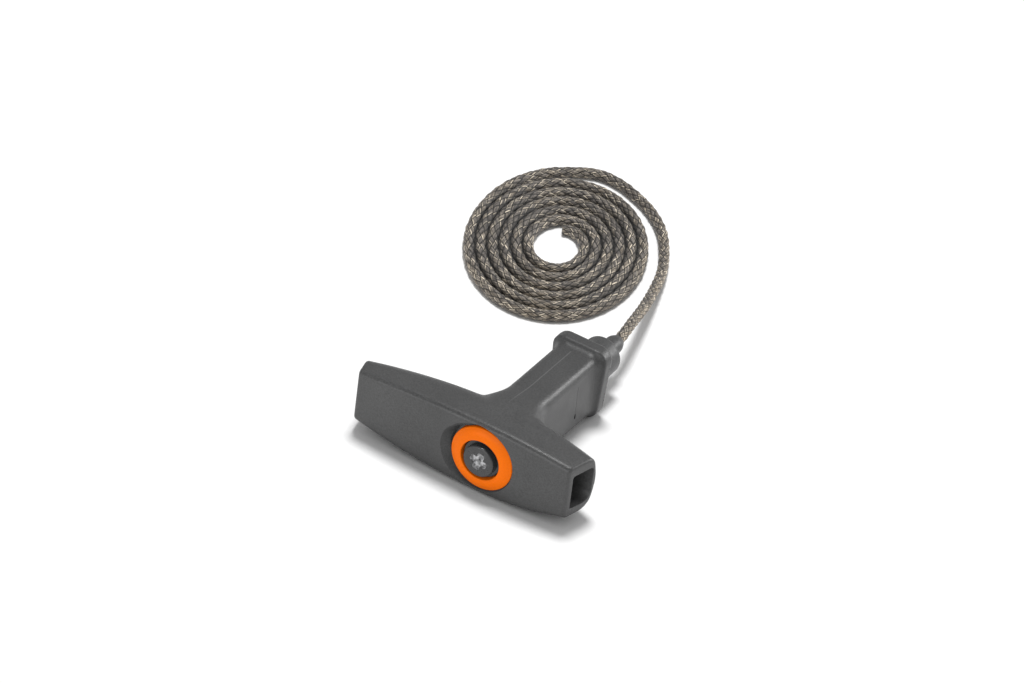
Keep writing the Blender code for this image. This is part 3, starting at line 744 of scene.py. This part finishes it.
for layer_name, layer in (("groove", groove), ("outer", outer)):
    mesh.attributes.new(layer_name, 'FLOAT', 'POINT').data.foreach_set("value", layer.ravel().astype(np.float32))
mesh.validate()
mesh.shade_smooth()

n = Nodes("rope_braid_threads")
lies = {}
for layer_name in ("groove", "outer"):
    attr = n.tree.nodes.new("ShaderNodeAttribute")
    attr.attribute_name = layer_name
    lies[layer_name] = attr.outputs["Fac"]
uvn = n.tree.nodes.new("ShaderNodeUVMap")
uvn.uv_map = "rope"
u_, v_, _w = n.separate(uvn.outputs[0])
wobble = n.math('MULTIPLY', n.math('MULTIPLY', n.math('SINE', n.math('ADD', n.math('MULTIPLY', v_, 1.3), n.math('MULTIPLY', u_, 4.0))),
                                   n.math('SINE', n.math('MULTIPLY', v_, 0.23))), 0.10)
a_ = n.math('MULTIPLY', n.math('ADD', u_, n.math('DIVIDE', n.math('ADD', v_, wobble), LAY)), STRANDS)
b_ = n.math('MULTIPLY', n.math('SUBTRACT', u_, n.math('DIVIDE', n.math('SUBTRACT', v_, wobble), LAY)), STRANDS)
fla, flb = n.math('FLOOR', a_), n.math('FLOOR', b_)
fra, frb = n.math('SUBTRACT', a_, fla), n.math('SUBTRACT', b_, flb)
parity = n.math('FLOORED_MODULO', n.math('ADD', fla, flb), 2.0)
under = n.math('GREATER_THAN', parity, 0.5)                       # 1: the second set is on top


def pick(x, y):
    return n.math('ADD', n.math('MULTIPLY', n.math('SUBTRACT', 1.0, under), x), n.math('MULTIPLY', under, y))


acr = pick(fra, frb)
alo = pick(frb, fra)
sid = pick(n.math('FLOORED_MODULO', fla, float(STRANDS)), n.math('ADD', n.math('FLOORED_MODULO', flb, float(STRANDS)), float(STRANDS)))
run_along = pick(b_, a_)
# threads: streaks that run along the strand
comb = n.tree.nodes.new("ShaderNodeCombineXYZ")
n.link(n.math('MULTIPLY', acr, 4.5), comb.inputs[0])
n.link(n.math('MULTIPLY', run_along, 1.1), comb.inputs[1])
n.link(n.math('MULTIPLY', sid, 7.3), comb.inputs[2])
thread = n.tree.nodes.new("ShaderNodeTexNoise")
thread.inputs["Scale"].default_value = 1.0
thread.inputs["Detail"].default_value = 3.0
thread.inputs["Roughness"].default_value = 0.65
n.link(comb.outputs[0], thread.inputs["Vector"])
thread = thread.outputs["Fac"]
comb2 = n.tree.nodes.new("ShaderNodeCombineXYZ")
n.link(n.math('MULTIPLY', acr, 2.2), comb2.inputs[0])
n.link(n.math('MULTIPLY', run_along, 0.8), comb2.inputs[1])
n.link(n.math('MULTIPLY', sid, 3.1), comb2.inputs[2])
patch = n.tree.nodes.new("ShaderNodeTexNoise")
patch.inputs["Scale"].default_value = 1.0
patch.inputs["Detail"].default_value = 2.0
n.link(comb2.outputs[0], patch.inputs["Vector"])
patch = patch.outputs["Fac"]
fleck = n.noise(1500.0, 3.0, 0.6)
grey = n.ramp(thread, [(0.36, (0.046, 0.040, 0.036)), (0.50, (0.104, 0.091, 0.081)), (0.62, (0.230, 0.205, 0.180))])
tan = n.ramp(thread, [(0.36, (0.085, 0.067, 0.047)), (0.50, (0.205, 0.166, 0.120)), (0.64, (0.430, 0.362, 0.275))])
# numbers of its own for each lozenge of the braid
cell_at = n.tree.nodes.new("ShaderNodeCombineXYZ")
n.link(n.math('SUBTRACT', fla, flb), cell_at.inputs[0])
n.link(n.math('FLOORED_MODULO', fla, float(STRANDS)), cell_at.inputs[1])
cell = n.tree.nodes.new("ShaderNodeTexWhiteNoise")
n.link(cell_at.outputs[0], cell.inputs["Vector"])
own = n.tree.nodes.new("ShaderNodeSeparateColor")
n.link(cell.outputs["Color"], own.inputs[0])
own_a, own_b, own_c = own.outputs[0], own.outputs[1], own.outputs[2]
near_guide = n.remap(v_, 20.0, 170.0, 0.55, 0.0)
tan_amount = n.math('ADD', n.math('MULTIPLY', lies["outer"], n.math('ADD', near_guide, 0.35)),
                    n.remap(own_c, 0.55, 1.0, 0.0, 0.55), clamp=True)
col = n.mix(tan_amount, grey, tan)
# pale threads along the lozenges' edges, most of them on one side
shift = n.math('MULTIPLY', n.math('SUBTRACT', thread, 0.5), 0.22)


def streak(at, wide, share, low, high):
    off = n.math('ABSOLUTE', n.math('SUBTRACT', n.math('ADD', acr, shift), at))
    line = n.remap(off, wide * 0.4, wide, 1.0, 0.0)
    ends = n.math('MULTIPLY', n.remap(alo, 0.0, 0.12, 0.0, 1.0), n.remap(alo, 0.86, 1.0, 1.0, 0.0))
    return n.math('MULTIPLY', n.math('MULTIPLY', line, ends), n.remap(share, low, high, 0.0, 1.0), clamp=True)


# painted shade: the base colour is darkened along the strands' edges and ends, where they dive under their neighbours,
# and deep in the groove between two turns
edge = n.math('MULTIPLY', n.math('MULTIPLY', acr, n.math('SUBTRACT', 1.0, acr)), 4.0)
dip = n.math('MULTIPLY', n.math('MULTIPLY', alo, n.math('SUBTRACT', 1.0, alo)), 4.0)
strand_crease_shade = n.math('MULTIPLY', n.remap(edge, 0.18, 0.84, 0.06, 1.0), n.remap(dip, 0.02, 0.55, 0.20, 1.0))
shade_in = n.remap(lies["groove"], 0.0, 1.0, 1.0, 0.04)
col = n.mix(1.0, col, n.math('MULTIPLY', strand_crease_shade, shade_in), 'MULTIPLY')
pale = n.math('MAXIMUM', streak(0.17, 0.10, own_a, 0.30, 0.60), streak(0.83, 0.09, own_b, 0.50, 0.80))
pale = n.math('MULTIPLY', pale, n.remap(patch, 0.36, 0.54, 0.30, 1.0), clamp=True)
pale = n.math('MULTIPLY', pale, n.remap(thread, 0.38, 0.52, 0.55, 1.0), clamp=True)
pale = n.math('MULTIPLY', pale, shade_in)
col = n.mix(pale, col, (0.80, 0.70, 0.55))
n.set("Base Color", col)
n.set("Roughness", n.remap(thread, 0.3, 0.7, 0.42, 0.75))
n.bsdf.inputs["Specular IOR Level"].default_value = 0.4
n.bsdf.inputs["Sheen Weight"].default_value = 0.15
n.bsdf.inputs["Sheen Roughness"].default_value = 0.5
n.set("Normal", n.bump(n.math('ADD', thread, n.math('MULTIPLY', fleck, 0.3)), 0.9, 0.0003))
rope = mesh_object("rope_visual", mesh, n.mat)
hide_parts("rope_lead", "rope_coil")
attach(rope, "anchor")
print("rope length mm", round(ROPE_LENGTH, 1), "rings", rings)

# rope inside the handle: the knot, then the same braid up to the guide's tip, which the slide draws out
END_Y = 99.33
knot = [(1.2, 1.6)]
for i in range(1, 16):
    a = math.pi * i / 16
    knot.append((1.2 + 3.7 * math.sin(a), 4.4 - 2.6 * math.cos(a)))
count = int((END_Y - 7.6) / STEP)
rows_y = np.r_[[k[1] for k in knot], 7.6 + (END_Y - 7.6) * np.arange(count + 1) / count]
limit = np.r_[[k[0] for k in knot], np.full(count + 1, 2.38)]
back_v = (rows_y - 99.34) * 1.15                    # goes on from the outer rope's first ring
uu, vv = np.meshgrid(np.arange(AROUND) / AROUND, back_v, indexing="xy")
wob = 0.10 * np.sin(vv * 1.3 + 4.0 * uu) * np.sin(vv * 0.23)
A = STRANDS * (uu + (vv + wob) / LAY)
B = STRANDS * (uu - (vv - wob) / LAY)
fa, fb = A - np.floor(A), B - np.floor(B)
over = ((np.floor(A) + np.floor(B)) % 2) < 0.5
across = np.where(over, fa, fb)
along = np.where(over, fb, fa)
height = np.clip(1 - np.abs(2 * across - 1) ** 2.4, 0, 1) ** 0.6 * (0.35 + 0.65 * np.sin(np.pi * np.clip(along, 0, 1)) ** 0.7)
radius = limit[:, None] - 0.64 * (1 - height) * np.minimum(limit / 2.38, 1.0)[:, None]
twist = 0.35 * np.sin((rows_y - 99.34) / 47.0) + 0.2 * np.sin((rows_y - 99.34) / 19.0 + 1.0)
ang = 2 * np.pi * uu + twist[:, None]
pos = np.stack([radius * np.cos(ang), np.broadcast_to(rows_y[:, None], ang.shape), radius * np.sin(ang)], axis=2)
n_rows = len(rows_y)
faces = []
for i in range(n_rows - 1):
    for k in range(AROUND):
        k1 = (k + 1) % AROUND
        faces.append((i * AROUND + k, i * AROUND + k1, (i + 1) * AROUND + k1, (i + 1) * AROUND + k))
faces.append(tuple(range(AROUND))[::-1])
faces.append(tuple((n_rows - 1) * AROUND + k for k in range(AROUND)))
mesh = bpy.data.meshes.new("rope_root_visual")
mesh.from_pydata([place(q) for q in pos.reshape(-1, 3)], [], faces)
uv = mesh.uv_layers.new(name="rope")
flat = []
for i in range(n_rows - 1):
    for k in range(AROUND):
        flat += [k / AROUND, back_v[i], (k + 1) / AROUND, back_v[i], (k + 1) / AROUND, back_v[i + 1], k / AROUND, back_v[i + 1]]
flat += [0.0] * (4 * AROUND)
uv.data.foreach_set("uv", flat)
for layer_name in ("groove", "outer"):
    mesh.attributes.new(layer_name, 'FLOAT', 'POINT')
mesh.validate()
mesh.shade_smooth()
root = mesh_object("rope_root_visual", mesh, n.mat)
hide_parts("rope_inside")
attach(root, "anchor")

# ribbed damper sleeve, on a mesh of its own
damp_mat = plastic("damper_elastomer_matt", (0.03, 0.03, 0.031), 0.75, grain=1.2)
DAMP_Y0, DAMP_Y1, RIBS = 11.5, 53.7, 9
rib_step = (DAMP_Y1 - DAMP_Y0) / (RIBS - 0.35)
prof = [(4.25, DAMP_Y0)]
for i in range(RIBS):
    a = DAMP_Y0 + i * rib_step
    prof += [(6.0, a), (6.15, a + 0.15), (6.15, a + rib_step * 0.65 - 0.15), (6.0, a + rib_step * 0.65)]
    if i < RIBS - 1:
        prof += [(5.35, a + rib_step * 0.72), (5.35, a + rib_step * 0.93)]
prof.append((4.25, DAMP_Y1))
damper = mesh_object("damper_visual", turned(prof, "damper_visual", 96), damp_mat.mat)
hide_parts("damper_sleeve")
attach(damper, "handle")
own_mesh(damper)

# ------------------------------------------------------------ floor and light
floor_mesh = bpy.data.meshes.new("floor")
s = 6.0
floor_mesh.from_pydata([(-s, -s, 0), (s, -s, 0), (s, s, 0), (-s, s, 0)], [], [(0, 1, 2, 3)])
fl = Nodes("floor_white")
fl.set("Base Color", fl.ramp(fl.noise(3.0), [(0.3, (0.93, 0.93, 0.93)), (0.7, (0.95, 0.95, 0.95))]))
fl.set("Roughness", 0.8)
fl.bsdf.inputs["Specular IOR Level"].default_value = 0.2
floor = mesh_object("floor", floor_mesh, fl.mat)
floor.location.z = -0.0001

world = bpy.data.worlds.new("studio")
world.use_nodes = True
world.node_tree.nodes["Background"].inputs["Color"].default_value = (1.0, 1.0, 1.0, 1.0)
world.node_tree.nodes["Background"].inputs["Strength"].default_value = 0.46
bpy.context.scene.world = world


def area(name, where, target, size, power, colour=(1, 1, 1)):
    data = bpy.data.lights.new(name, 'AREA')
    data.shape = 'DISK'
    data.size = size
    data.energy = power
    data.color = colour
    lamp = bpy.data.objects.new(name, data)
    bpy.context.scene.collection.objects.link(lamp)
    lamp.location = where
    lamp.rotation_euler = (Vector(target) - Vector(where)).to_track_quat('-Z', 'Y').to_euler()
    return lamp


centre_pt = (-0.01, 0.05, 0.01)
the_part, the_floor = bpy.data.collections.new("lit_part"), bpy.data.collections.new("lit_floor")
for ob in (body, ring, anchor, plug, guide, rope, root, damper):
    the_part.objects.link(ob)
the_floor.objects.link(floor)
area("overhead", (-0.09, 0.12, 1.20), centre_pt, 0.24, 7.5).light_linking.receiver_collection = the_part
area("overhead_floor", (-0.12, 0.19, 1.18), centre_pt, 0.32, 11.5).light_linking.receiver_collection = the_floor
area("side", (0.62, 0.76, 0.44), centre_pt, 0.45, 6.5).light_linking.receiver_collection = the_part
area("fill", (0.05, -1.40, 0.44), centre_pt, 0.8, 4.8).light_linking.receiver_collection = the_part
area("low_front", (-0.52, -1.22, 0.14), centre_pt, 0.22, 2.1).light_linking.receiver_collection = the_part
bpy.context.scene.view_settings.view_transform = 'Standard'
